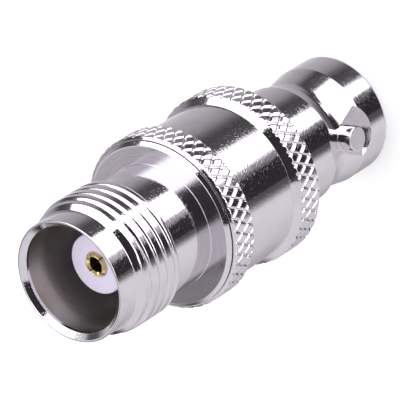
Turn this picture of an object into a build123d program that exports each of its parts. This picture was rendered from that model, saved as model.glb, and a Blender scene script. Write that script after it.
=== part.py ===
from build123d import *
import math
import os

# Coax adapter, a threaded jack (up) to a bayonet jack (down), in millimetres.
# The origin is the centre of the bayonet end's rim, and +Z runs up the axis.
# Radii build outwards from the contact and the bore, and heights stack up from the bayonet end.

# Centre contact
contact_hole_dia = 1.30
contact_wall = 0.41
contact_from_mouth = 3.10
contact_end_chamfer = 0.20
contact_hole_depth = 5.20
contact_hole_lead = 0.10
contact_drill_angle = 120
slot_width = 0.24
slot_length = 3.60
slot_count = 4
slot_turn = 22.5
collar_height = 0.74
collar_length = 2.0

# Insulators
nose_wall = 1.34
nose_from_mouth = 3.25
nose_chamfer = 0.12
insulator_body_step = 1.10
insulator_flange_step = 0.80
insulator_seat_depth = 8.60
insulator_body_length = 3.40
insulator_clearance = 0.02
collar_clearance = 0.02
tine_clearance = 0.08

# Bore round both noses, and the smooth wall that the mating plugs slide over
bore_dia = 8.14
lip_wall = 0.78
mouth_taper_length = 0.40

# Threaded end: 7/16-28 thread behind a smooth pilot
pilot_length = 1.90
threaded_mouth_relief = 0.13
threaded_mouth_depth = 3.00
rim_chamfer = 0.08
countersink_depth = 0.40
countersink_width = 0.52
thread_rise = 0.65
thread_length = 4.00
thread_lead_chamfer = 0.45
first_crest_length = 0.75
thread_pitch = 0.907
thread_depth = 0.416
thread_root_flat = 0.08
thread_flank_angle = 30
thread_relief = 0.114
thread_start_angle = 277
threaded_neck_length = 4.75

# Barrel and the two knurled grips
spigot_wall = 0.98
spigot_length = 4.10
spigot_chamfer = 0.20
spigot_clearance = 0.02
barrel_wall = 1.14
barrel_length = 5.70
grip_rise = 0.57
grip_length = 2.65
grip_face_chamfer = 0.45
knurl_count = 47
knurl_angle = 30
knurl_crest_drop = 0.05
knurl_depth = 0.26
threaded_knurl_starts = (3.8, 3.8)
bayonet_knurl_starts = (5.2, 2.8)

# Bayonet end
base_wall = 0.80
base_length = 5.15
base_ledge = 0.19
neck_wall = 0.43
neck_length = 2.20
flare_length = 1.85
lip_length = 2.75
lip_chamfer = 0.22
bayonet_mouth_relief = 0.09
bayonet_mouth_depth = 2.00
bayonet_rim_chamfer = 0.25

# Two lugs, one with the shell, each in a round milled pocket with a flat floor
lug_dia = 2.0
lug_rise = 0.65
lug_height = 4.63
lug_chamfer = 0.15
lug_count = 2
pocket_dia = 5.30
pocket_wall = 0.24

# Radii that follow
hole_r = contact_hole_dia / 2
contact_r = hole_r + contact_wall
collar_r = contact_r + collar_height
nose_r = contact_r + nose_wall
insulator_body_r = nose_r + insulator_body_step
insulator_flange_r = insulator_body_r + insulator_flange_step
contact_way_r = contact_r + collar_clearance
collar_way_r = collar_r + collar_clearance
tine_way_r = contact_r + tine_clearance
body_bore_r = insulator_body_r + insulator_clearance
flange_bore_r = insulator_flange_r + insulator_clearance
bore_r = bore_dia / 2
threaded_mouth_r = bore_r + threaded_mouth_relief
bayonet_mouth_r = bore_r + bayonet_mouth_relief
lip_r = bore_r + lip_wall
thread_r = lip_r + thread_rise
thread_root_r = thread_r - thread_depth
threaded_neck_r = thread_root_r - thread_relief
spigot_r = flange_bore_r + spigot_wall
socket_r = spigot_r + spigot_clearance
barrel_r = socket_r + barrel_wall
grip_r = barrel_r + grip_rise
base_r = bore_r + base_wall
bayonet_neck_r = bore_r + neck_wall
lug_top_r = lip_r + lug_rise
pocket_floor = bore_r + pocket_wall
lug_r = lug_dia / 2

# Heights that follow
flare_top = lip_length + flare_length
neck_top = flare_top + neck_length
base_top = neck_top + base_length
seam = base_top + grip_length
barrel_top = seam + barrel_length
flange = barrel_top + grip_length
thread_bottom = flange + threaded_neck_length
pilot_bottom = thread_bottom + thread_length
mouth = pilot_bottom + pilot_length
middle = mouth / 2
spigot_top = seam + spigot_length
nose_top = mouth - nose_from_mouth
contact_top = mouth - contact_from_mouth
threaded_mouth_bottom = mouth - threaded_mouth_depth
threaded_nose_seat = mouth - insulator_seat_depth
threaded_flange_seat = threaded_nose_seat - insulator_body_length
bayonet_flange_seat = insulator_seat_depth + insulator_body_length


def thread_groove_turn():
    """One turn of the thread's V groove, from the height 0 up to one pitch."""
    over = 0.08
    top_half = thread_root_flat / 2 + (thread_depth + over) * math.tan(math.radians(thread_flank_angle))
    with BuildPart(mode=Mode.PRIVATE) as turn:
        with BuildLine():
            Helix(pitch=thread_pitch, height=thread_pitch, radius=thread_r)
        with BuildSketch(Plane.XZ):
            with BuildLine():
                Polyline(
                    (thread_root_r, -thread_root_flat / 2),
                    (thread_r + over, -top_half),
                    (thread_r + over, top_half),
                    (thread_root_r, thread_root_flat / 2),
                    close=True,
                )
            make_face()
        sweep(is_frenet=True)
    return turn.part.rotate(Axis.Z, thread_start_angle)


def knurl_cutters(band_bottom, lean, start):
    """V-shaped bars of one lean that lie across a grip, one for each groove, turned by a start angle."""
    run_out = 0.60
    pitch = 2 * math.pi * grip_r / knurl_count * math.cos(math.radians(lean))
    flank = (pitch / 2) / (knurl_depth - knurl_crest_drop)
    half_length = grip_length / 2 / math.cos(math.radians(lean)) + run_out
    along = Vector(0, math.sin(math.radians(lean)), math.cos(math.radians(lean)))
    across = Vector(0, math.cos(math.radians(lean)), -math.sin(math.radians(lean)))
    groove = Plane(origin=(grip_r, 0, band_bottom + grip_length / 2), x_dir=across, z_dir=along)
    with BuildPart(mode=Mode.PRIVATE) as bar:
        with BuildSketch(groove):
            with BuildLine():
                Polyline(
                    (0, knurl_depth),
                    (-knurl_depth * flank, 0),
                    (knurl_depth * flank, 0),
                    close=True,
                )
            make_face()
        extrude(amount=half_length, both=True)
    return [bar.part.rotate(Axis.Z, start + 360 / knurl_count * i) for i in range(knurl_count)]


# Threaded jack shell: pilot, thread, neck, flange with its grip, and the barrel
with BuildPart() as threaded_jack_shell:
    with BuildSketch(Plane.XZ):
        with BuildLine():
            Polyline(
                (threaded_mouth_r, mouth - countersink_depth),
                (threaded_mouth_r + countersink_width, mouth),
                (lip_r - rim_chamfer, mouth),
                (lip_r, mouth - rim_chamfer),
                (lip_r, pilot_bottom),
                (lip_r + thread_lead_chamfer, pilot_bottom - thread_lead_chamfer),
                (thread_r, pilot_bottom - thread_lead_chamfer - first_crest_length),
                (thread_r, thread_bottom),
                (threaded_neck_r, thread_bottom - (thread_r - threaded_neck_r)),
                (threaded_neck_r, flange),
                (grip_r - grip_face_chamfer, flange),
                (grip_r, flange - grip_face_chamfer),
                (grip_r, barrel_top),
                (barrel_r, barrel_top),
                (barrel_r, seam),
                (socket_r, seam),
                (socket_r, spigot_top),
                (flange_bore_r, spigot_top),
                (flange_bore_r, threaded_flange_seat),
                (body_bore_r, threaded_flange_seat),
                (body_bore_r, threaded_nose_seat),
                (bore_r, threaded_nose_seat),
                (bore_r, threaded_mouth_bottom - mouth_taper_length),
                (threaded_mouth_r, threaded_mouth_bottom),
                close=True,
            )
        make_face()
    revolve(axis=Axis.Z)
    # The V groove winds from the neck's relief up to the pilot and runs out at both
    turns = math.ceil(thread_length / thread_pitch) + 1
    with Locations(*[(0, 0, thread_bottom + thread_pitch * i) for i in range(-1, turns - 1)]):
        add(thread_groove_turn(), mode=Mode.SUBTRACT)
    # Two opposite leans of V grooves that meet at their crests leave pointed diamonds
    for lean, start in zip((knurl_angle, -knurl_angle), threaded_knurl_starts):
        add(knurl_cutters(barrel_top, lean, start), mode=Mode.SUBTRACT)
threaded_jack_shell.part.label = "threaded_jack_shell"

# Bayonet jack shell: spigot, grip, base, milled neck with its lugs, and the front lip
with BuildPart() as bayonet_jack_shell:
    with BuildSketch(Plane.XZ):
        with BuildLine():
            Polyline((lip_r, lip_chamfer), (lip_r, lip_length), (bayonet_neck_r, flare_top))
            TangentArc(
                (bayonet_neck_r, flare_top),
                (base_r - base_ledge, neck_top),
                tangent=(bayonet_neck_r - lip_r, flare_length),
            )
            Polyline(
                (base_r - base_ledge, neck_top),
                (base_r, neck_top),
                (base_r, base_top),
                (grip_r, base_top),
                (grip_r, seam - grip_rise),
                (barrel_r, seam),
                (spigot_r, seam),
                (spigot_r, spigot_top - spigot_chamfer),
                (spigot_r - spigot_chamfer, spigot_top),
                (flange_bore_r, spigot_top),
                (flange_bore_r, bayonet_flange_seat),
                (body_bore_r, bayonet_flange_seat),
                (body_bore_r, insulator_seat_depth),
                (bore_r, insulator_seat_depth),
                (bore_r, bayonet_mouth_depth + mouth_taper_length),
                (bayonet_mouth_r, bayonet_mouth_depth),
                (bayonet_mouth_r, bayonet_rim_chamfer),
                (bayonet_mouth_r + bayonet_rim_chamfer, 0),
                (lip_r - lip_chamfer, 0),
                (lip_r, lip_chamfer),
            )
        make_face()
    revolve(axis=Axis.Z)
    for lean, start in zip((knurl_angle, -knurl_angle), bayonet_knurl_starts):
        add(knurl_cutters(base_top, lean, start), mode=Mode.SUBTRACT)
    # Round pockets, each milled square to its lug down to a flat floor
    for i in range(lug_count):
        turn = 360 / lug_count * i
        outward = Vector(1, 0, 0).rotate(Axis.Z, turn)
        floor = Plane(origin=outward * pocket_floor + Vector(0, 0, lug_height), z_dir=outward)
        with BuildSketch(floor):
            Circle(pocket_dia / 2)
        extrude(amount=lug_top_r, mode=Mode.SUBTRACT)
    # Lugs turned about their own axes, with a broken edge
    for i in range(lug_count):
        turn = 360 / lug_count * i
        outward = Vector(1, 0, 0).rotate(Axis.Z, turn)
        lug_root = pocket_floor - pocket_wall / 2
        with BuildSketch(Plane(origin=(0, 0, lug_height), x_dir=outward, z_dir=(0, 0, 1))):
            with BuildLine():
                Polyline(
                    (lug_root, lug_r),
                    (lug_root, 0),
                    (lug_top_r, 0),
                    (lug_top_r, lug_r - lug_chamfer),
                    (lug_top_r - lug_chamfer, lug_r),
                    close=True,
                )
            make_face()
        revolve(axis=Axis(origin=(0, 0, lug_height), direction=outward))
bayonet_jack_shell.part.label = "bayonet_jack_shell"

# Threaded side insulator: nose in the mouth, body in its bore, flange under the seat
with BuildPart() as threaded_side_insulator:
    with BuildSketch(Plane.XZ):
        with BuildLine():
            tines_end = contact_top - slot_length
            Polyline(
                (tine_way_r, nose_top),
                (nose_r - nose_chamfer, nose_top),
                (nose_r, nose_top - nose_chamfer),
                (nose_r, threaded_nose_seat),
                (insulator_body_r, threaded_nose_seat),
                (insulator_body_r, threaded_flange_seat),
                (insulator_flange_r, threaded_flange_seat),
                (insulator_flange_r, middle),
                (collar_way_r, middle),
                (collar_way_r, middle + collar_length / 2),
                (contact_way_r, middle + collar_length / 2),
                (contact_way_r, tines_end),
                (tine_way_r, tines_end),
                close=True,
            )
        make_face()
    revolve(axis=Axis.Z)
threaded_side_insulator.part.label = "threaded_side_insulator"

# Bayonet side insulator: the same form the other way up
with BuildPart() as bayonet_side_insulator:
    with BuildSketch(Plane.XZ):
        with BuildLine():
            tines_end = contact_from_mouth + slot_length
            Polyline(
                (tine_way_r, nose_from_mouth),
                (nose_r - nose_chamfer, nose_from_mouth),
                (nose_r, nose_from_mouth + nose_chamfer),
                (nose_r, insulator_seat_depth),
                (insulator_body_r, insulator_seat_depth),
                (insulator_body_r, bayonet_flange_seat),
                (insulator_flange_r, bayonet_flange_seat),
                (insulator_flange_r, middle),
                (collar_way_r, middle),
                (collar_way_r, middle - collar_length / 2),
                (contact_way_r, middle - collar_length / 2),
                (contact_way_r, tines_end),
                (tine_way_r, tines_end),
                close=True,
            )
        make_face()
    revolve(axis=Axis.Z)
bayonet_side_insulator.part.label = "bayonet_side_insulator"

# Centre contact: one turned half with its collar, bored and slotted, then mirrored
with BuildPart() as center_contact:
    with BuildSketch(Plane.XZ):
        with BuildLine():
            hole_bottom = contact_top - contact_hole_depth
            drill_point = hole_r / math.tan(math.radians(contact_drill_angle / 2))
            Polyline(
                (0, middle),
                (collar_r, middle),
                (collar_r, middle + collar_length / 2),
                (contact_r, middle + collar_length / 2),
                (contact_r, contact_top - contact_end_chamfer),
                (contact_r - contact_end_chamfer, contact_top),
                (hole_r + contact_hole_lead, contact_top),
                (hole_r, contact_top - contact_hole_lead),
                (hole_r, hole_bottom),
                (0, hole_bottom - drill_point),
                close=True,
            )
        make_face()
    revolve(axis=Axis.Z)
    with BuildSketch(Plane.XY.offset(contact_top)):
        with PolarLocations(0, slot_count, start_angle=slot_turn):
            Rectangle(collar_r, slot_width, align=(Align.MIN, Align.CENTER))
    extrude(amount=-slot_length, mode=Mode.SUBTRACT)
    mirror(about=Plane.XY.offset(middle))
center_contact.part.label = "center_contact"

os.makedirs("parts", exist_ok=True)
for piece in (
    threaded_jack_shell,
    bayonet_jack_shell,
    threaded_side_insulator,
    bayonet_side_insulator,
    center_contact,
):
    export_step(piece.part, f"parts/{piece.part.label}.step")
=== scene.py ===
import math

import bmesh
import bpy
import numpy as np
from mathutils import Matrix, Vector


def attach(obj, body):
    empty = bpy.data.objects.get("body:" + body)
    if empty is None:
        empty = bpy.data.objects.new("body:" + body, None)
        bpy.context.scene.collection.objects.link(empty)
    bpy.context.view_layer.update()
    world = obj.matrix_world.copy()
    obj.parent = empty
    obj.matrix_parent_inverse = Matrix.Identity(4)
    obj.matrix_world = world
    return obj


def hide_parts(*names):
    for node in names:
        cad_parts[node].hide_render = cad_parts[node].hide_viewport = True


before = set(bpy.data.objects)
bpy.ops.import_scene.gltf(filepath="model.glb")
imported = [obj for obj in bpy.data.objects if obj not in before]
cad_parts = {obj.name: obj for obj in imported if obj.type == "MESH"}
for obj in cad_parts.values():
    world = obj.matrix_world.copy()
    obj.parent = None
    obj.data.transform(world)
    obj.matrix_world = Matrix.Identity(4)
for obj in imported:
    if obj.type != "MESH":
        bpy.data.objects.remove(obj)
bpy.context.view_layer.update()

# Coax adapter, threaded jack up and bayonet jack down. Sizes are in millimetres, as in the frame's source,
# and every mesh is brought to metres when it is made.
MM = 0.001
CLEARANCE = 0.02

# What the photo shows at its angle theta lies at PHOTO_TURN - theta about +Z, in degrees
PHOTO_TURN = 27.5

# Radii
LIP_R = 4.85
THREAD_R = 5.50
THREAD_ROOT_R = 5.084
NECK_R = 4.97
BARREL_R = 6.46
GRIP_R = 7.00
BASE_R = 4.87
BASE_LEDGE_R = 4.68
MILLED_NECK_R = 4.50
BORE_R = 4.07
THREADED_MOUTH_R = 4.28
BAYONET_MOUTH_R = 4.16
NOSE_R = 2.40
INSULATOR_BODY_R = 3.50
INSULATOR_FLANGE_R = 4.30
CONTACT_R = 1.00
CONTACT_HOLE_R = 0.58
COLLAR_R = 1.80
SOCKET_R = 5.32
SPIGOT_R = 5.30
LUG_R = 1.00
LUG_TOP_R = 5.50
POCKET_R = 2.65
POCKET_FLOOR = 4.31

# Heights
FLARE_BOTTOM = 2.75
FLARE_TOP = 4.60
NECK_TOP = 6.80
BASE_TOP = 11.95
SEAM = 14.60
BARREL_TOP = 20.30
FLANGE = 22.95
THREAD_BOTTOM = 27.50
PILOT_BOTTOM = 31.70
MOUTH = 33.60
MIDDLE = 16.80
SPIGOT_TOP = 18.70
SEAT_DEPTH = 8.60
BODY_LENGTH = 3.40
NOSE_DEPTH = 3.25
CONTACT_DEPTH = 2.96
LUG_HEIGHT = 4.63
COUNTERSINK_DEPTH = 0.36
COUNTERSINK_WIDTH = 0.42
MOUTH_RELIEF_DEPTH = 0.60
BAYONET_RIM_CHAMFER = 0.25
BAYONET_MOUTH_DEPTH = 2.0
BAYONET_BORE_SEAM = 5.0
SPIGOT_CHAMFER = 0.20
THROAT_LENGTH = 1.5
POCKET_SIDES = 160
CUTTER_REACH = 8.0

# Thread and knurl
THREAD_PITCH = 0.907
THREAD_FLANK_ANGLE = 30
THREAD_CREST_HEIGHT = 29.28
THREAD_CREST_HALF = 0.33
THREAD_ROUNDING = 0.16
THREAD_ROOT_ROUNDING = 0.03
FIRST_CREST_R = 5.28
KNURL_COUNT = 47
KNURL_LEAN = 30
KNURL_SLOPE = 0.86
KNURL_HALF = 0.11
KNURL_ROUNDING = 0.02
KNURL_FOLD = 0.20
KNURL_FRONT_CHAMFER = 0.54
KNURL_BACK_CHAMFER = 0.05
KNURL_PITCH_ANGLE = 2 * math.pi / KNURL_COUNT
KNURL_PITCH_HEIGHT = GRIP_R * KNURL_PITCH_ANGLE / math.tan(math.radians(KNURL_LEAN))
KNURL_SPACING = GRIP_R * KNURL_PITCH_ANGLE * math.cos(math.radians(KNURL_LEAN))

TIP_R = 0.80
SLOT_HALF = 0.045
SLOT_LENGTH = 3.60
SLOT_TURN = 40
TINE_COUNT = 4
COLLAR_HALF = 1.0
FLANGE_FACE_R = 6.42
CHAMFER_KNURL_R = 6.92
GRIP_FLOOR_R = 6.46
GRIP_TOP = FLANGE - CHAMFER_KNURL_R + FLANGE_FACE_R
COLUMNS = 376

# One place on each grip where two knurl grooves cross: its angle in the photo and its depth below the mouth
THREADED_CROSSING = (9.7, 11.98)
BAYONET_CROSSING = (1.7, 20.58)


# Turned profiles

def rounded(corners, steps=5):
    """Points and outward normals of a profile whose corners (r, z, radius) are rounded by arcs.
    The solid lies on the right of the way the corners run."""
    points, normals = [], []

    def side_normal(a, b):
        d = np.array(b[:2], float) - np.array(a[:2], float)
        d /= np.linalg.norm(d)
        return np.array([-d[1], d[0]])

    last = len(corners) - 1
    for i, corner in enumerate(corners):
        here = np.array(corner[:2], float)
        radius = corner[2] if len(corner) > 2 else 0
        before = side_normal(corners[i - 1], corner) if i > 0 else None
        after = side_normal(corner, corners[i + 1]) if i < last else None
        if before is None or after is None:
            points.append(here)
            normals.append(after if before is None else before)
            continue
        turn = math.atan2(before[0] * after[1] - before[1] * after[0], float(before @ after))
        if radius <= 0 or abs(turn) < 1e-3:
            points += [here, here]
            normals += [before, after]
            continue
        reach = radius * math.tan(abs(turn) / 2)
        back = np.array([before[1], -before[0]])
        start = here - back * reach
        sign = 1 if turn > 0 else -1
        centre = start + before * radius * sign
        for k in range(steps + 1):
            a = turn * k / steps
            c, s = math.cos(a), math.sin(a)
            n = np.array([before[0] * c - before[1] * s, before[0] * s + before[1] * c])
            points.append(centre - n * radius * sign)
            normals.append(n)
    return np.array(points), np.array(normals)


def arc_profile(start, end, start_slope, steps=14):
    """A curve from one (r, z) to another that leaves along start_slope, as points for a profile."""
    p, q, d = (np.array(v, float) for v in (start, end, start_slope))
    d /= np.linalg.norm(d)
    side = np.array([-d[1], d[0]])
    chord = q - p
    radius = float(chord @ chord) / (2 * float(side @ chord))
    centre = p + side * radius
    a0 = math.atan2(*(p - centre)[::-1])
    a1 = math.atan2(*(q - centre)[::-1])
    swing = (a1 - a0 + math.pi) % (2 * math.pi) - math.pi
    angles = [a0 + swing * k / steps for k in range(steps + 1)]
    return [tuple(centre + abs(radius) * np.array([math.cos(a), math.sin(a)])) for a in angles]


def lathe(profile, columns=COLUMNS):
    """A turned surface about the Z axis: a grid of points and normals, its last column on its first."""
    points, normals = profile
    a = np.arange(columns + 1) * 2 * math.pi / columns
    c, s = np.cos(a), np.sin(a)

    def spin(v):
        return np.stack([np.outer(v[:, 0], c), np.outer(v[:, 0], s), np.outer(v[:, 1], np.ones_like(a))], -1)

    return spin(points), spin(normals)


def relief_grid(angle, height, radius_at):
    """A cylinder's surface whose radius is radius_at(angle, height), with normals taken from its slopes."""
    step_a, step_z = 2e-4, 1e-3
    r = radius_at(angle, height)
    by_angle = (radius_at(angle + step_a, height) - radius_at(angle - step_a, height)) / (2 * step_a)
    by_height = (radius_at(angle, height + step_z) - radius_at(angle, height - step_z)) / (2 * step_z)
    c, s = np.cos(angle), np.sin(angle)
    points = np.stack([r * c, r * s, height], -1)
    outward = np.stack([c, s, np.zeros_like(c)], -1)
    around = np.stack([-s, c, np.zeros_like(c)], -1)
    up = np.array([0, 0, 1.0])
    normals = outward - around * (by_angle / r)[..., None] - up * by_height[..., None]
    return points, normals / np.linalg.norm(normals, axis=-1, keepdims=True)


# Meshes

def make_piece(name, skins, materials, node=None):
    """One object from several grids (points, normals, material index), in millimetres."""
    all_points, all_normals, all_faces, all_marks = [], [], [], []
    offset = 0
    for (points, normals), mark in skins:
        rows, cols = points.shape[:2]
        flat = points.reshape(-1, 3)
        key = np.round(flat * 1e5).astype(np.int64)
        _, first, index = np.unique(key, axis=0, return_index=True, return_inverse=True)
        index = index.reshape(-1)
        grid = index.reshape(rows, cols)
        quads = np.stack([grid[:-1, :-1], grid[:-1, 1:], grid[1:, 1:], grid[1:, :-1]], -1).reshape(-1, 4)
        for quad in quads:
            ring = []
            for v in quad:
                if not ring or v != ring[-1]:
                    ring.append(int(v))
            if ring[0] == ring[-1]:
                ring.pop()
            if len(set(ring)) >= 3 and len(set(ring)) == len(ring):
                all_faces.append([v + offset for v in ring])
                all_marks.append(mark)
        all_points.append(flat[first])
        all_normals.append(normals.reshape(-1, 3)[first])
        offset += len(first)
    points = np.concatenate(all_points)
    normals = np.concatenate(all_normals)
    mesh = bpy.data.meshes.new(name)
    mesh.from_pydata((points * MM).tolist(), [], all_faces)
    mesh.polygons.foreach_set("material_index", all_marks)
    mesh.polygons.foreach_set("use_smooth", [True] * len(all_faces))
    for material in materials:
        mesh.materials.append(material)
    face_out(mesh, normals)
    mesh.normals_split_custom_set_from_vertices(normals.tolist())
    return show(mesh, name, node)


def face_out(mesh, normals):
    """Turns the faces that point against their vertices' normals."""
    flip = []
    for face in mesh.polygons:
        wanted = normals[list(face.vertices)].sum(axis=0)
        if Vector(wanted).dot(face.normal) < 0:
            flip.append(face)
    for face in flip:
        face.flip()
    mesh.update()


def show(mesh, name, node):
    """Puts a mesh in the scene on the part's one body, in place of its node where it has one."""
    piece = bpy.data.objects.new(name, mesh)
    bpy.context.scene.collection.objects.link(piece)
    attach(piece, "root")
    if node:
        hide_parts(node)
    return piece


# Shader maths

class Value:
    """A socket that varies over a surface. Arithmetic on it adds Math nodes."""

    def __init__(self, shader, socket):
        self.shader = shader
        self.socket = socket

    def math(self, operation, *others):
        return self.shader.node("ShaderNodeMath", {"operation": operation}, (self, *others))

    def __add__(self, other):
        return self.math("ADD", other)

    def __sub__(self, other):
        return self.math("SUBTRACT", other)

    def __mul__(self, other):
        return self.math("MULTIPLY", other)

    def __rsub__(self, other):
        return self.shader.node("ShaderNodeMath", {"operation": "SUBTRACT"}, (other, self))

    def between(self, low, high, to_low=0, to_high=1):
        """to_low below low, to_high above high and a soft step from one to the other."""
        return self.shader.node("ShaderNodeMapRange", {"interpolation_type": "SMOOTHSTEP"}, {
            "Value": self, "From Min": low, "From Max": high, "To Min": to_low, "To Max": to_high})

    def line(self, stops):
        """A grey curve through (place, height) stops, places from 0 to 1."""
        greys = [(place, (height, height, height, 1)) for place, height in stops]
        return self.shader.node("ShaderNodeValToRGB", {"stops": greys}, (self,))


class Shader:
    """The nodes of one material or world."""

    def __init__(self, tree):
        self.tree = tree
        tree.nodes.clear()

    def node(self, kind, settings=None, inputs=(), out=0):
        """Adds a node with its settings and its sockets' values or links. Gives the output out, or None."""
        made = self.tree.nodes.new(kind)
        for key, value in (settings or {}).items():
            if key == "stops":
                elements = made.color_ramp.elements
                while len(elements) < len(value):
                    elements.new(0.5)
                for element, (place, colour) in zip(elements, value):
                    element.position = place
                for element, (place, colour) in zip(elements, value):
                    element.color = colour
            else:
                setattr(made, key, value)
        for key, value in (inputs.items() if isinstance(inputs, dict) else enumerate(inputs)):
            socket = made.inputs[key]
            if isinstance(value, Value):
                self.tree.links.new(value.socket, socket)
            elif value is not None:
                socket.default_value = value
        return Value(self, made.outputs[out]) if len(made.outputs) else None

    def mix(self, factor, a, b, blend="MIX"):
        """A colour between a and b."""
        return self.node("ShaderNodeMix", {"data_type": "RGBA", "blend_type": blend},
                         {0: factor, 6: a, 7: b}, out=2)


def new_material(name, build):
    """A material whose surface is what build(shader) returns."""
    material = bpy.data.materials.new(name)
    material.use_nodes = True
    shader = Shader(material.node_tree)
    surface = build(shader)
    shader.node("ShaderNodeOutputMaterial", {}, {"Surface": surface})
    return material


def place_in_mm(shader):
    """The point's x, y, z and its distance from the axis, in millimetres."""
    place = shader.node("ShaderNodeTexCoord", out=3)
    scaled = shader.node("ShaderNodeVectorMath", {"operation": "SCALE"}, {0: place, "Scale": 1 / MM})
    parts = [shader.node("ShaderNodeSeparateXYZ", {}, (scaled,), out=i) for i in range(3)]
    x, y, z = parts
    radius = (x * x + y * y).math("SQRT")
    return scaled, x, y, z, radius


def noise(shader, vector, scale, detail=2, roughness=0.5):
    return shader.node("ShaderNodeTexNoise", {}, {
        "Vector": vector, "Scale": scale, "Detail": detail, "Roughness": roughness})


# Materials

NICKEL = (0.80, 0.785, 0.81, 1)
NICKEL_SHADE = (0.72, 0.70, 0.72, 1)
# The flange face's nickel, a darker copy of the plate: painted shade that dims its highlight
FACED_PAINTED_SHADE = (0.66, 0.642, 0.668, 1)
FACED_PAINTED_SHADE_DARKER = (0.60, 0.582, 0.605, 1)
# Darker, browner nickel inside the mouths: painted shade in the bore
BORE_PAINTED_SHADE = (0.52, 0.505, 0.46, 1)
BORE_PAINTED_SHADE_DARKER = (0.48, 0.465, 0.415, 1)
GOLD = (1.0, 0.84, 0.52, 1)
GOLD_SHADE = (0.95, 0.76, 0.43, 1)
# Dark gold for the contact's hole, slot cheeks and the sleeve behind the slots: painted shade
HOLE_GOLD_PAINTED_SHADE = (0.34, 0.23, 0.11, 1)
HOLE_GOLD_PAINTED_SHADE_DARKER = (0.26, 0.17, 0.08, 1)
# The white insulators coloured lavender-grey: painted lavender light and shade
PLASTIC_PAINTED_LAVENDER_SHADE = (0.69, 0.63, 0.79, 1)
PLASTIC_PAINTED_LAVENDER_SHADE_DARKER = (0.66, 0.595, 0.77, 1)


def nickel(shader, marks_along_axis=False):
    """Bright nickel plate over fine tool marks, which run round a turned face or along a milled one."""
    scaled, x, y, z, radius = place_in_mm(shader)
    if marks_along_axis:
        way = shader.node("ShaderNodeCombineXYZ", {}, (x * 9.0, y * 9.0, z * 0.35))
    else:
        way = shader.node("ShaderNodeCombineXYZ", {}, (x * 0.35, y * 0.35, z * 6.0 + radius * 9.0))
    marks = noise(shader, way, 1.0, 3, 0.62)
    cloud = noise(shader, scaled, 0.5, 2, 0.5)
    grain = noise(shader, scaled, 9.0, 1, 0.5)
    pits = noise(shader, scaled, 6.5, 1, 0.5).between(0.60, 0.70)
    height = marks * (0.5 if marks_along_axis else 0.2) + grain * 0.25 + pits * 0.19
    lifted = shader.node("ShaderNodeBump", {}, {"Strength": 1.0, "Distance": 0.000009, "Height": height})
    colour = shader.mix(cloud.between(0.45, 0.7) * 0.5, NICKEL, NICKEL_SHADE)
    rough = marks.between(0.35, 0.7, 0.035, 0.07)
    return shader.node("ShaderNodeBsdfPrincipled", {}, {
        "Base Color": colour, "Metallic": 1.0, "Roughness": rough, "Normal": lifted})


def faced_nickel(shader):
    """The flange's turned face: rings so fine that they only smear reflections outwards."""
    scaled, x, y, z, radius = place_in_mm(shader)
    way = shader.node("ShaderNodeCombineXYZ", {}, (x * 0.2, y * 0.2, radius * 9.0))
    marks = noise(shader, way, 1.0, 3, 0.6)
    lifted = shader.node("ShaderNodeBump", {}, {"Strength": 0.25, "Distance": 0.000006, "Height": marks})
    # Darker copy of the nickel on the flange face: painted shade
    colour = shader.mix(marks.between(0.3, 0.7), FACED_PAINTED_SHADE, FACED_PAINTED_SHADE_DARKER)
    return shader.node("ShaderNodeBsdfPrincipled", {}, {
        "Base Color": colour, "Metallic": 1.0, "Roughness": 0.12, "Anisotropic": 0.9, "Normal": lifted})


def bore_nickel_painted_shade(shader):
    """The mouth's inside: the same plate, duller, its colour darker and browner as painted shade inside the
    bore, over faint boring marks.
    """
    scaled, x, y, z, radius = place_in_mm(shader)
    way = shader.node("ShaderNodeCombineXYZ", {}, (x * 0.3, y * 0.3, z * 3.0 + radius * 5.0))
    marks = noise(shader, way, 1.0, 2, 0.5)
    lifted = shader.node("ShaderNodeBump", {}, {"Strength": 0.2, "Distance": 0.000006, "Height": marks})
    colour = shader.mix(marks.between(0.3, 0.7), BORE_PAINTED_SHADE_DARKER, BORE_PAINTED_SHADE)
    rough = marks.between(0.3, 0.7, 0.30, 0.36)
    return shader.node("ShaderNodeBsdfPrincipled", {}, {
        "Base Color": colour, "Metallic": 1.0, "Roughness": rough, "Normal": lifted})


def gold(shader):
    """Gold plate on the contact, with turning marks."""
    scaled, x, y, z, radius = place_in_mm(shader)
    way = shader.node("ShaderNodeCombineXYZ", {}, (x * 0.6, y * 0.6, z * 16.0 + radius * 22.0))
    marks = noise(shader, way, 1.0, 3, 0.6)
    lifted = shader.node("ShaderNodeBump", {}, {"Strength": 0.3, "Distance": 0.000006, "Height": marks})
    colour = shader.mix(marks.between(0.3, 0.7), GOLD, GOLD_SHADE)
    rough = marks.between(0.3, 0.7, 0.09, 0.16)
    return shader.node("ShaderNodeBsdfPrincipled", {}, {
        "Base Color": colour, "Metallic": 1.0, "Roughness": rough, "Normal": lifted})


def painted_shade_gold(shader):
    """The drilled hole, the slots' cheeks and the sleeve behind them, in dark gold: painted shade."""
    scaled, x, y, z, radius = place_in_mm(shader)
    marks = noise(shader, scaled, 6.0, 2, 0.5)
    colour = shader.mix(marks.between(0.3, 0.7), HOLE_GOLD_PAINTED_SHADE, HOLE_GOLD_PAINTED_SHADE_DARKER)
    return shader.node("ShaderNodeBsdfPrincipled", {}, {
        "Base Color": colour, "Metallic": 1.0, "Roughness": marks.between(0.3, 0.7, 0.3, 0.4)})


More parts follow.
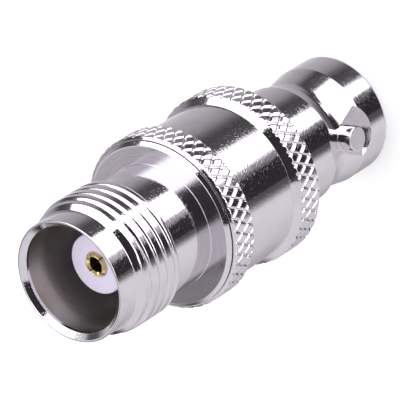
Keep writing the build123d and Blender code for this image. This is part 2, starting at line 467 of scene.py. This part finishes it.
def white_plastic(shader):
    """Waxy white fluoroplastic, coloured a darker lavender-grey as painted lavender light and shade, with
    turning marks on its face.
    """
    scaled, x, y, z, radius = place_in_mm(shader)
    way = shader.node("ShaderNodeCombineXYZ", {}, (x * 0.5, y * 0.5, z * 8.0 + radius * 12.0))
    marks = noise(shader, way, 1.0, 2, 0.5)
    cloud = noise(shader, scaled, 1.4, 3, 0.55)
    lifted = shader.node("ShaderNodeBump", {}, {"Strength": 0.25, "Distance": 0.00001, "Height": marks})
    colour = shader.mix(cloud.between(0.35, 0.7), PLASTIC_PAINTED_LAVENDER_SHADE, PLASTIC_PAINTED_LAVENDER_SHADE_DARKER)
    return shader.node("ShaderNodeBsdfPrincipled", {}, {
        "Base Color": colour, "Roughness": marks.between(0.3, 0.7, 0.42, 0.55), "Normal": lifted,
        "Subsurface Weight": 0.15, "Subsurface Scale": 0.001})


turned_nickel = new_material("turned_nickel", nickel)
milled_nickel = new_material("milled_nickel", lambda shader: nickel(shader, marks_along_axis=True))
bored_nickel_painted_shade = new_material("bored_nickel_painted_shade", bore_nickel_painted_shade)
faced = new_material("faced_nickel", faced_nickel)
gold_plate = new_material("gold_plate", gold)
gold_painted_shade = new_material("gold_painted_shade", painted_shade_gold)
insulator_white = new_material("insulator_white", white_plastic)


# Shapes

def soft_min(a, b, width):
    """The lower of a and b, rounded over where they meet."""
    h = np.clip(0.5 + 0.5 * (b - a) / width, 0, 1)
    return b * (1 - h) + a * h - width * h * (1 - h)


def soft_max(a, b, width):
    """The higher of a and b, rounded over where they meet."""
    return -soft_min(-a, -b, width)


def thread_radius(angle, height):
    """The thread's radius at an angle and a height: crests, roots, and both ends where it runs out."""
    turn = (height - THREAD_CREST_HEIGHT - THREAD_PITCH * angle / (2 * math.pi)) / THREAD_PITCH
    off = np.abs(turn - np.round(turn)) * THREAD_PITCH
    flank = THREAD_R - (off - THREAD_CREST_HALF) / math.tan(math.radians(THREAD_FLANK_ANGLE))
    body = soft_min(np.full_like(off, THREAD_R), flank, THREAD_ROUNDING)
    body = soft_max(body, np.full_like(off, THREAD_ROOT_R), THREAD_ROOT_ROUNDING)
    lead = LIP_R + (PILOT_BOTTOM - height)
    lead = soft_min(lead, FIRST_CREST_R + np.maximum(PILOT_BOTTOM - 0.93 - height, 0), 0.04)
    run_out = NECK_R + (height - (THREAD_BOTTOM - (THREAD_R - NECK_R)))
    body = soft_min(body, soft_max(lead, np.full_like(lead, LIP_R), 0.04), 0.04)
    return soft_min(body, np.maximum(run_out, NECK_R), 0.05)


def thread_skin(low, high, per_turn=20, columns=COLUMNS):
    """The thread as a grid whose rows wind along the crests, cut off level at both ends."""
    half = THREAD_PITCH / 2
    crest, blend = THREAD_CREST_HALF, THREAD_ROUNDING * math.tan(math.radians(THREAD_FLANK_ANGLE))
    places = np.concatenate([
        np.array([0, (crest - blend) * 0.6]),
        np.linspace(crest - blend, crest + blend, 9),
        np.linspace(crest + blend, half, 3)[1:],
    ])
    ring = np.concatenate([places, THREAD_PITCH - places[-2:0:-1]])
    turns = np.arange(math.floor((low - THREAD_CREST_HEIGHT) / THREAD_PITCH) - 1,
                      math.ceil((high - THREAD_CREST_HEIGHT) / THREAD_PITCH) + 1)
    rows = (THREAD_CREST_HEIGHT + turns[:, None] * THREAD_PITCH + ring[None, :]).reshape(-1)
    angle = np.arange(columns + 1) * 2 * math.pi / columns
    height = rows[:, None] + THREAD_PITCH * angle[None, :] / (2 * math.pi)
    return relief_grid(np.broadcast_to(angle, height.shape), np.clip(height, low, high), thread_radius)


def knurl_radius(bottom, top, crossing, top_chamfer, bottom_chamfer):
    """The radius of a knurled band as a function of angle and height. Two sets of rolled grooves add up
    where they cross, crossing is the angle and height of one such place, and both ends are chamfered."""

    def radius_at(angle, height):
        across = (angle - crossing[0]) / KNURL_PITCH_ANGLE
        along = (height - crossing[1]) / KNURL_PITCH_HEIGHT
        r = np.full_like(height, GRIP_R)
        for lean in (across + along, across - along):
            off = np.abs(lean - np.round(lean)) * KNURL_SPACING
            off = np.sqrt(off * off + KNURL_ROUNDING ** 2) - KNURL_ROUNDING
            r = r - KNURL_SLOPE * soft_max(KNURL_HALF - off, np.zeros_like(off), KNURL_ROUNDING)
        r = soft_min(r, GRIP_R - top_chamfer + (top - height), 0.012)
        return soft_min(r, GRIP_R - bottom_chamfer + (height - bottom), 0.03)

    return radius_at


def knurl_skins(bottom, top, crossing, top_chamfer, bottom_chamfer, floor_r):
    """A knurled band as strips of a diamond grid, whose lines are whole numbers on the grooves of either
    lean. The grid runs on past both ends, where it is folded inwards by KNURL_FOLD, and below it a plain
    ring goes on to floor_r."""
    radius_at = knurl_radius(bottom, top, crossing, top_chamfer, bottom_chamfer)
    edge = KNURL_HALF / KNURL_SPACING
    half = [0, edge * 0.2, edge * 0.5, edge * 0.8, edge, edge * 1.25, 0.28, 0.35, 0.42, 0.5]
    ring = np.array(half + [1 - v for v in half[-2:0:-1]])
    low = 2 * (bottom - KNURL_FOLD - crossing[1]) / KNURL_PITCH_HEIGHT
    high = 2 * (top + KNURL_FOLD - crossing[1]) / KNURL_PITCH_HEIGHT
    lines = np.append((np.arange(KNURL_COUNT)[:, None] + ring[None, :]).reshape(-1), KNURL_COUNT)
    end_r = GRIP_R - bottom_chamfer - KNURL_FOLD
    skins = [(lathe(rounded([(end_r + 0.01, bottom), (floor_r, bottom)])), 0)]
    for left, right in zip(lines[:-1], lines[1:]):
        turns = np.arange(math.floor(left - high), math.ceil(right - low) + 1)
        v = (turns[:, None] + ring[None, :]).reshape(-1, 1)
        inside = np.flatnonzero((v[:, 0] > left - high) & (v[:, 0] < right - low))
        v = v[max(inside[0] - 1, 0):inside[-1] + 2]
        u = np.array([[left, right]])
        angle = (u + v) / 2 * KNURL_PITCH_ANGLE + crossing[0]
        height = (u - v) / 2 * KNURL_PITCH_HEIGHT + crossing[1]
        level = np.clip(height, bottom, top)
        points, normals = relief_grid(angle, level, radius_at)
        past = np.abs(height - level)
        lowest = GRIP_R - KNURL_FOLD - np.where(height > level, top_chamfer, bottom_chamfer)
        r = np.hypot(points[..., 0], points[..., 1])
        r = np.where(past > 0, np.minimum(r, np.maximum(r - past, lowest)), r)
        points[..., 0], points[..., 1] = r * np.cos(angle), r * np.sin(angle)
        flat = past > 0.09
        normals[flat] = 0
        normals[flat, 2] = np.sign(height - level)[flat]
        skins.append(((points, normals), 0))
    return skins


# Threaded jack shell
thread_low = THREAD_BOTTOM - (THREAD_R - NECK_R) - 0.15
thread_high = PILOT_BOTTOM + 0.15

front = rounded([
    (THREADED_MOUTH_R, MOUTH - MOUTH_RELIEF_DEPTH),
    (THREADED_MOUTH_R, MOUTH - COUNTERSINK_DEPTH, 0.05),
    (THREADED_MOUTH_R + COUNTERSINK_WIDTH, MOUTH, 0.16),
    (LIP_R, MOUTH, 0.06),
    (LIP_R, thread_high),
])
mouth_bore = rounded([
    (BORE_R, MOUTH - SEAT_DEPTH),
    (BORE_R, MOUTH - 3.2, 40.0),
    (THREADED_MOUTH_R, MOUTH - MOUTH_RELIEF_DEPTH),
])
plain_neck = rounded([
    (NECK_R, thread_low),
    (NECK_R, FLANGE, 0.04),
    (NECK_R + 0.06, FLANGE),
])
flange_face = rounded([
    (NECK_R + 0.06, FLANGE),
    (FLANGE_FACE_R - 0.04, FLANGE),
])
grip_chamfer = rounded([
    (FLANGE_FACE_R - 0.04, FLANGE),
    (FLANGE_FACE_R, FLANGE, 0.09),
    (FLANGE_FACE_R + 0.29, FLANGE - 0.29, 0.01),
    (FLANGE_FACE_R + 0.06, FLANGE - 0.30, 0.01),
    (FLANGE_FACE_R + 0.06, FLANGE - 0.37, 0.01),
    (FLANGE_FACE_R + 0.37, FLANGE - 0.36, 0.01),
    (CHAMFER_KNURL_R, GRIP_TOP),
])
barrel = rounded([
    (BARREL_R, BARREL_TOP),
    (BARREL_R, SEAM, 0.04),
    (SOCKET_R, SEAM),
    (SOCKET_R, SPIGOT_TOP),
    (INSULATOR_FLANGE_R + CLEARANCE, SPIGOT_TOP),
    (INSULATOR_FLANGE_R + CLEARANCE, MOUTH - SEAT_DEPTH - BODY_LENGTH),
    (INSULATOR_BODY_R + CLEARANCE, MOUTH - SEAT_DEPTH - BODY_LENGTH),
    (INSULATOR_BODY_R + CLEARANCE, MOUTH - SEAT_DEPTH),
    (BORE_R, MOUTH - SEAT_DEPTH),
])


def object_angle(theta):
    """An angle about +Z from an angle seen in the photo, both in degrees, given in radians."""
    return math.radians(PHOTO_TURN - theta)


# The mouth bore takes the darker bore nickel, painted shade
make_piece(
    "threaded_shell_turned",
    [
        (lathe(front), 0),
        (lathe(mouth_bore), 1),
        (thread_skin(thread_low, thread_high), 0),
        (lathe(plain_neck), 0),
        (lathe(flange_face), 2),
        (lathe(grip_chamfer), 0),
        (lathe(barrel), 0),
    ],
    [turned_nickel, bored_nickel_painted_shade, faced], "threaded_jack_shell")

make_piece(
    "threaded_grip_knurl",
    knurl_skins(BARREL_TOP, GRIP_TOP, (object_angle(THREADED_CROSSING[0]), MOUTH - THREADED_CROSSING[1]),
                GRIP_R - CHAMFER_KNURL_R, KNURL_BACK_CHAMFER, GRIP_FLOOR_R),
    [turned_nickel], None)

make_piece(
    "bayonet_grip_knurl",
    knurl_skins(BASE_TOP, SEAM, (object_angle(BAYONET_CROSSING[0]), MOUTH - BAYONET_CROSSING[1]),
                KNURL_FRONT_CHAMFER, KNURL_BACK_CHAMFER, BASE_R),
    [turned_nickel], None)


# Bayonet jack shell
neck_curve = arc_profile((MILLED_NECK_R, FLARE_TOP), (BASE_LEDGE_R, NECK_TOP),
                         (MILLED_NECK_R - LIP_R, FLARE_TOP - FLARE_BOTTOM))
bayonet_corners = [
    (BORE_R, BAYONET_BORE_SEAM),
    (BORE_R, SEAT_DEPTH),
    (INSULATOR_BODY_R + CLEARANCE, SEAT_DEPTH),
    (INSULATOR_BODY_R + CLEARANCE, SEAT_DEPTH + BODY_LENGTH),
    (INSULATOR_FLANGE_R + CLEARANCE, SEAT_DEPTH + BODY_LENGTH),
    (INSULATOR_FLANGE_R + CLEARANCE, SPIGOT_TOP),
    (SPIGOT_R - SPIGOT_CHAMFER, SPIGOT_TOP),
    (SPIGOT_R, SPIGOT_TOP - SPIGOT_CHAMFER),
    (SPIGOT_R, BASE_TOP + 0.5),
    (BASE_R, BASE_TOP + 0.5),
    (BASE_R, NECK_TOP, 0.04),
    (BASE_LEDGE_R, NECK_TOP, 0.03),
    *[(r, z, 2.0) for r, z in neck_curve[-4:0:-4]],
    (LIP_R, FLARE_BOTTOM, 0.25),
    (LIP_R, 0, 0.21),
    (BAYONET_MOUTH_R + BAYONET_RIM_CHAMFER, 0, 0.03),
    (BAYONET_MOUTH_R, BAYONET_RIM_CHAMFER, 0.04),
    (BAYONET_MOUTH_R, BAYONET_MOUTH_DEPTH, 0.05),
    (BORE_R, 2.4, 0.05),
    (BORE_R, BAYONET_BORE_SEAM),
]
bayonet_profile = rounded(bayonet_corners)


def profile_normals(profile, r, z):
    """The normals of a turned profile's nearest places to points (r, z), as (outward, up)."""
    points, normals = profile
    start, way = points[:-1], points[1:] - points[:-1]
    length = np.maximum((way ** 2).sum(1), 1e-12)
    place = np.stack([r, z], 1)[:, None, :] - start[None]
    t = np.clip((place * way[None]).sum(2) / length, 0, 1)
    off = ((place - t[..., None] * way[None]) ** 2).sum(2)
    off[:, (way ** 2).sum(1) < 1e-10] = np.inf
    best = off.argmin(1)
    share = t[np.arange(len(best)), best][:, None]
    mixed = normals[best] * (1 - share) + normals[best + 1] * share
    return mixed / np.linalg.norm(mixed, axis=1, keepdims=True)


def plain_mesh(name, points, faces):
    """An object for the milling alone, in metres and not yet in the scene."""
    mesh = bpy.data.meshes.new(name)
    mesh.from_pydata((np.asarray(points) * MM).tolist(), [], faces)
    return bpy.data.objects.new(name, mesh)


def milled_bayonet():
    """The turned bayonet end with a round flat-floored pocket milled into each side, as one closed mesh."""
    points = bayonet_profile[0]
    keep = np.append(np.linalg.norm(np.diff(points, axis=0), axis=1) > 1e-6, False)
    ring = points[keep]
    count = len(ring)
    angle = np.arange(COLUMNS) * 2 * math.pi / COLUMNS
    grid = np.stack([np.outer(np.cos(angle), ring[:, 0]), np.outer(np.sin(angle), ring[:, 0]),
                     np.broadcast_to(ring[:, 1], (COLUMNS, count))], -1).reshape(-1, 3)
    faces = [(i * count + j, i * count + (j + 1) % count, (i + 1) % COLUMNS * count + (j + 1) % count,
              (i + 1) % COLUMNS * count + j) for i in range(COLUMNS) for j in range(count)]
    turned = plain_mesh("turned", grid, faces)
    cutters = []
    for side in (1, -1):
        a = np.arange(POCKET_SIDES) * 2 * math.pi / POCKET_SIDES
        rim = np.stack([0 * a, POCKET_R * np.cos(a), LUG_HEIGHT + POCKET_R * np.sin(a)], 1)
        low, high = rim + [POCKET_FLOOR * side, 0, 0], rim + [CUTTER_REACH * side, 0, 0]
        sides = POCKET_SIDES
        faces = [tuple(range(sides)), tuple(range(2 * sides - 1, sides - 1, -1))]
        faces += [(i, i + sides, (i + 1) % sides + sides, (i + 1) % sides) for i in range(sides)]
        cutters.append(plain_mesh("cutter", np.concatenate([low, high]), faces))
    for part in [turned, *cutters]:
        bpy.context.scene.collection.objects.link(part)
        work = bmesh.new()
        work.from_mesh(part.data)
        bmesh.ops.recalc_face_normals(work, faces=work.faces)
        work.to_mesh(part.data)
        work.free()
    for cutter in cutters:
        cut = turned.modifiers.new("pocket", "BOOLEAN")
        cut.operation, cut.solver, cut.object = "DIFFERENCE", "EXACT", cutter
    depsgraph = bpy.context.evaluated_depsgraph_get()
    mesh = bpy.data.meshes.new_from_object(turned.evaluated_get(depsgraph))
    for part in [turned, *cutters]:
        bpy.data.objects.remove(part)
    return mesh


def shade_milled(mesh):
    """Gives each corner of the milled mesh the true normal of the surface that its face lies on, and tells
    which faces lie in a pocket."""
    count = len(mesh.loops)
    corner_vertex = np.empty(count, int)
    mesh.loops.foreach_get("vertex_index", corner_vertex)
    place = np.empty(len(mesh.vertices) * 3)
    mesh.vertices.foreach_get("co", place)
    place = place.reshape(-1, 3)[corner_vertex] / MM
    face_normal, middle = np.empty((len(mesh.polygons), 3)), np.empty((len(mesh.polygons), 3))
    face_of = np.empty(count, int)
    for i, face in enumerate(mesh.polygons):
        face_normal[i] = face.normal
        face_of[list(face.loop_indices)] = i
        middle[i] = Vector(face.center) / MM
    flat = face_normal[face_of]
    r = np.hypot(place[:, 0], place[:, 1])
    turned = np.empty((count, 3))
    # Where two surfaces meet, a corner is told apart by looking a little way into its own face
    inner = place + (middle[face_of] - place) * 0.01
    inner_r = np.hypot(inner[:, 0], inner[:, 1])
    for first in range(0, count, 20000):
        part = slice(first, first + 20000)
        slope = profile_normals(bayonet_profile, inner_r[part], inner[part, 2])
        turned[part, 0] = slope[:, 0] * place[part, 0] / r[part]
        turned[part, 1] = slope[:, 0] * place[part, 1] / r[part]
        turned[part, 2] = slope[:, 1]
    turned *= np.sign((turned * flat).sum(1))[:, None]
    off_lug = np.hypot(place[:, 1], place[:, 2] - LUG_HEIGHT)
    on_floor = np.zeros(len(mesh.polygons), bool)
    on_wall = np.zeros(len(mesh.polygons), bool)
    for i, face in enumerate(mesh.polygons):
        corners = list(face.loop_indices)
        facing = abs(flat[corners[0], 0])
        at_floor = np.abs(np.abs(place[corners, 0]) - POCKET_FLOOR) < 1e-3
        at_wall = np.abs(off_lug[corners] - POCKET_R) < 2e-3
        on_floor[i] = np.all(at_floor) and facing > 0.999
        on_wall[i] = np.all(at_wall) and facing < 0.05
    wall = np.stack([0 * r, place[:, 1], place[:, 2] - LUG_HEIGHT], 1)
    wall /= -np.maximum(np.linalg.norm(wall, axis=1, keepdims=True), 1e-9)
    result = np.where(on_wall[face_of][:, None], wall, turned)
    result = np.where(on_floor[face_of][:, None], flat, result)
    mesh.polygons.foreach_set("use_smooth", [True] * len(mesh.polygons))
    mesh.normals_split_custom_set(result.tolist())
    return on_floor | on_wall


def lug_skins():
    """Both lugs, turned about the X axis, each with a small root radius on its pocket's floor."""
    skins = []
    profile = rounded([
        (LUG_R + 0.06, POCKET_FLOOR - 0.02),
        (LUG_R, POCKET_FLOOR + 0.04, 0.05),
        (LUG_R, LUG_TOP_R, 0.10),
        (0, LUG_TOP_R),
    ])
    points, normals = lathe(profile, 96)
    for side in (1, -1):
        place = np.stack([points[..., 2] * side, points[..., 0], points[..., 1] + LUG_HEIGHT], -1)
        slope = np.stack([normals[..., 2] * side, normals[..., 0], normals[..., 1]], -1)
        skins.append(((place, slope), 0))
    return skins


bayonet_mesh = milled_bayonet()
in_pocket = shade_milled(bayonet_mesh)
for material in (turned_nickel, milled_nickel, bored_nickel_painted_shade):
    bayonet_mesh.materials.append(material)
centres = [face.center for face in bayonet_mesh.polygons]
face_r = np.array([math.hypot(c.x, c.y) / MM for c in centres])
face_z = np.array([c.z / MM for c in centres])
inside = (face_r < BAYONET_MOUTH_R + 0.01) & (face_z < SEAT_DEPTH)
on_neck = (face_z > FLARE_BOTTOM + 0.3) & (face_z < NECK_TOP) & (face_r > BORE_R + 0.2)
# Faces inside the mouth take the darker bore nickel, painted shade
face_materials = np.where(inside, 2, np.where(on_neck | in_pocket, 1, 0))
bayonet_mesh.polygons.foreach_set("material_index", face_materials.tolist())
show(bayonet_mesh, "bayonet_shell_milled", "bayonet_jack_shell")
make_piece("bayonet_lugs_turned", lug_skins(), [turned_nickel], None)


# Insulators
def insulator(name, node, flip):
    """One insulator: nose, body and flange round the contact. flip turns it over for the bayonet end."""
    corners = [
        (CONTACT_R + CLEARANCE, MOUTH - NOSE_DEPTH - THROAT_LENGTH),
        (CONTACT_R + CLEARANCE, MOUTH - NOSE_DEPTH, 0.03),
        (NOSE_R, MOUTH - NOSE_DEPTH, 0.14),
        (NOSE_R, MOUTH - SEAT_DEPTH),
        (INSULATOR_BODY_R, MOUTH - SEAT_DEPTH),
        (INSULATOR_BODY_R, MOUTH - SEAT_DEPTH - BODY_LENGTH),
        (INSULATOR_FLANGE_R, MOUTH - SEAT_DEPTH - BODY_LENGTH),
        (INSULATOR_FLANGE_R, MIDDLE),
        (COLLAR_R + CLEARANCE, MIDDLE),
        (COLLAR_R + CLEARANCE, MIDDLE + COLLAR_HALF),
        (CONTACT_R + CLEARANCE, MIDDLE + COLLAR_HALF),
        (CONTACT_R + CLEARANCE, MOUTH - NOSE_DEPTH - THROAT_LENGTH),
    ]
    points, normals = lathe(rounded(corners), 188)
    if flip:
        points[..., 2] = MOUTH - points[..., 2]
        normals[..., 2] *= -1
    return make_piece(name, [((points, normals), 0)], [insulator_white], node)


insulator("threaded_side_insulator_turned", "threaded_side_insulator", False)
insulator("bayonet_side_insulator_turned", "bayonet_side_insulator", True)


# Contact
def tine_skins():
    """The upper socket's tines, each a piece of the slotted tube; its flat cheeks and hole are dark gold,
    painted shade.
    """
    tip, foot = MOUTH - CONTACT_DEPTH, MOUTH - CONTACT_DEPTH - SLOT_LENGTH
    outer = rounded([
        (CONTACT_R, foot),
        (CONTACT_R, tip - 0.26, 0.25),
        (TIP_R, tip, 0.04),
        (TIP_R - 0.04, tip),
    ])
    bevel = rounded([(TIP_R - 0.04, tip), (TIP_R - 0.06, tip, 0.05), (CONTACT_HOLE_R, tip - 0.22)])
    hole = rounded([(CONTACT_HOLE_R, tip - 0.22), (CONTACT_HOLE_R, foot)])
    inner = np.concatenate([bevel[0], hole[0][1:]])
    skins = []
    for i in range(TINE_COUNT):
        middle = math.radians(SLOT_TURN + 45 + 90 * i)
        for (points, normals), mark in ((outer, 0), (bevel, 0), (hole, 1)):
            gap = np.arcsin(SLOT_HALF / points[:, :1])
            angle = middle + np.linspace(-1, 1, 17)[None, :] * (math.pi / 4 - gap)
            c, sn = np.cos(angle), np.sin(angle)
            place, slope = (
                np.stack([v[:, :1] * c, v[:, :1] * sn, np.broadcast_to(v[:, 1:], c.shape)], -1)
                for v in (points, normals))
            skins.append(((place, slope), mark))
        for end in (-1, 1):
            edges = []
            for points in (outer[0], inner[::-1]):
                gap = np.arcsin(SLOT_HALF / points[:, 0])
                angle = middle + end * (math.pi / 4 - gap)
                x, y = points[:, 0] * np.cos(angle), points[:, 0] * np.sin(angle)
                edges.append(np.stack([x, y, points[:, 1]], -1))
            steps = max(len(e) for e in edges)
            edges = [e[np.round(np.linspace(0, len(e) - 1, steps)).astype(int)] for e in edges]
            place = np.stack(edges)
            side = middle + end * math.pi / 4
            cheek = np.array([-math.sin(side) * end, math.cos(side) * end, 0.0])
            slope = np.broadcast_to(cheek, place.shape)
            skins.append(((place, slope), 1))
    return skins


def contact_half():
    """The contact above the middle: tines, the tube's foot with its drilled hole, and half of the collar."""
    tip, foot = MOUTH - CONTACT_DEPTH, MOUTH - CONTACT_DEPTH - SLOT_LENGTH
    body = rounded([
        (0, foot - 1.9),
        (CONTACT_HOLE_R, foot - 1.5),
        (CONTACT_HOLE_R, foot),
        (CONTACT_R, foot),
        (CONTACT_R, MIDDLE + COLLAR_HALF),
        (COLLAR_R, MIDDLE + COLLAR_HALF),
        (COLLAR_R, MIDDLE),
    ][::-1])
    # A dark gold sleeve just inside the tines closes the slots from behind: a painted shadow seen through
    # them
    painted_shade_sleeve = rounded([(CONTACT_R - 0.04, tip - 0.34), (CONTACT_R - 0.04, foot)])
    return [*tine_skins(), (lathe(body, 96), 0), (lathe(painted_shade_sleeve, 96), 1)]


upper_half = contact_half()
lower_half = [
    ((points * [1, 1, -1] + [0, 0, MOUTH], normals * [1, 1, -1]), mark)
    for (points, normals), mark in upper_half]
make_piece("contact_slotted", upper_half + lower_half, [gold_plate, gold_painted_shade],
           "center_contact")


# Camera, floor and studio

CAMERA_PLACE = (0.182740, 0.095129, 0.219103)
CAMERA_RIGHT = (0.77065, -0.19956, -0.60522)
CAMERA_UP = (-0.06052, 0.92250, -0.38124)
CAMERA_BACK = (0.63439, 0.33042, 0.69883)
CAMERA_LENS = 342
CAMERA_SENSOR = 36
FLOOR_HALF = 3.0


# Greys of the studio, before its gamma
SOFTBOX = (1.3, 1.3, 1.3, 1)
DARK_GAP = (0.2, 0.2, 0.2, 1)


def add_camera():
    """The photo's own camera, solved from its circles and outline."""
    data = bpy.data.cameras.new("camera")
    data.lens = CAMERA_LENS
    data.sensor_width = CAMERA_SENSOR
    data.clip_start = 0.01
    data.clip_end = 20
    camera = bpy.data.objects.new("camera", data)
    bpy.context.scene.collection.objects.link(camera)
    turn = Matrix((CAMERA_RIGHT, CAMERA_UP, CAMERA_BACK)).transposed()
    camera.matrix_world = Matrix.Translation(CAMERA_PLACE) @ turn.to_4x4()
    bpy.context.scene.camera = camera


def add_floor():
    """A plain pale floor. The metal reflects the studio instead of it."""
    mesh = bpy.data.meshes.new("floor")
    corners = [(x * FLOOR_HALF, y * FLOOR_HALF, 0) for x, y in ((-1, -1), (1, -1), (1, 1), (-1, 1))]
    mesh.from_pydata(corners, [], [(0, 1, 2, 3)])

    def paint(shader):
        scaled, x, y, z, radius = place_in_mm(shader)
        shade = noise(shader, scaled, 0.02, 2)
        colour = shader.mix(shade, (0.96, 0.96, 0.96, 1), (0.98, 0.98, 0.98, 1))
        return shader.node("ShaderNodeBsdfPrincipled", {}, {
            "Base Color": colour, "Roughness": 0.8, "Specular IOR Level": 0.0})

    mesh.materials.append(new_material("floor_paint", paint))
    floor = bpy.data.objects.new("floor", mesh)
    bpy.context.scene.collection.objects.link(floor)
    floor.visible_glossy = False


def add_studio():
    """A white softbox over the part, grey walls and dark gaps between them, seen only in the metal."""
    world = bpy.data.worlds.new("studio")
    bpy.context.scene.world = world
    world.use_nodes = True
    shader = Shader(world.node_tree)
    way = shader.node("ShaderNodeTexCoord", out=0)

    def along(axis):
        return shader.node("ShaderNodeVectorMath", {"operation": "DOT_PRODUCT"}, (way, axis), out=1)

    right, up, near = along(CAMERA_RIGHT), along(CAMERA_UP), along(CAMERA_BACK)
    turn = up.math("ARCTAN2", right) * (180 / math.pi)
    depth = near * 0.5 + 0.5

    upper = depth.line([
        (0.0, 0.87), (0.035, 0.757), (0.085, 0.70), (0.155, 0.66), (0.235, 0.60), (0.28, 0.53),
        (0.32, 0.40), (0.36, 0.29), (0.42, 0.33), (0.47, 0.36), (0.53, 0.75), (1.0, 0.80)])
    lower = depth.line([(0.0, 0.6), (0.06, 0.68), (0.12, 0.76), (0.2, 0.79), (0.35, 0.83), (1.0, 0.82)])
    is_up = turn.between(-6, 4) * turn.between(158, 174, 1, 0)
    base = shader.mix(is_up, lower, upper)
    strip_middle = 15 - near * 105
    strip_half = 14 - near * 45
    off = (turn - strip_middle).math("ABSOLUTE") - strip_half
    strip = off.between(-1, 1, 1, 0) * near.between(-0.3, -0.12) * near.between(0.28, 0.4, 1, 0)
    shade = shader.mix(strip, base, DARK_GAP)
    spot_turn = (turn + 106).math("ABSOLUTE").between(4, 14, 1, 0)
    spot = spot_turn * (near + 0.58).math("ABSOLUTE").between(0.08, 0.4, 1, 0)
    shade = shader.mix(spot, shade, DARK_GAP)
    right_edge = turn - (35.5 - near * 70)
    bottom_edge = near - turn.between(62, 75, -0.12, 0.0)
    box = right_edge.between(-1, 1) * turn.between(150, 154, 1, 0) * bottom_edge.between(0.0, 0.03)
    round_left = turn.math("WRAP", 300, -60)
    side = round_left.between(140, 150) * round_left.between(214, 222, 1, 0) * near.between(0.3, 0.4)
    shade = shader.mix(box, shade, SOFTBOX)
    shade = shader.mix(side, shade, SOFTBOX)
    lens_long, lens_wide = (right * 0.85 + up * 0.53 + 0.03) * 1.1, up * 0.85 - right * 0.53 + 0.085
    off_centre = (lens_long * lens_long + lens_wide * lens_wide).math("SQRT")
    lens = off_centre.between(0.45, 0.49, 1, 0) * near.between(0, 0.1)
    shade = shader.mix(lens, shade, DARK_GAP)
    low_left = turn.between(-150, -147) * turn.between(-128, -112, 1, 0)
    low_left = low_left * near.math("ABSOLUTE").between(0.2, 0.3, 1, 0)
    shade = shader.mix(low_left, shade, (0.5, 0.5, 0.5, 1))
    linear = shader.node("ShaderNodeGamma", {}, {"Color": shade, "Gamma": 2.3})
    tinted = shader.mix(1.0, linear, (1.23, 1.17, 1.25, 1), "MULTIPLY")
    reflected = shader.node("ShaderNodeBackground", {}, {"Color": tinted, "Strength": 1.0})
    from_left = shader.mix(right * 0.5 + 0.5, (1.75, 1.75, 1.75, 1), (0.7, 0.7, 0.7, 1))
    plain = shader.node("ShaderNodeBackground", {}, {"Color": from_left, "Strength": 1.0})
    glossy = shader.node("ShaderNodeLightPath", out="Is Glossy Ray")
    shader.node("ShaderNodeOutputWorld", {}, {
        "Surface": shader.node("ShaderNodeMixShader", {}, (glossy, plain, reflected))})


add_camera()
add_floor()
add_studio()
bpy.context.scene.view_settings.view_transform = "Standard"
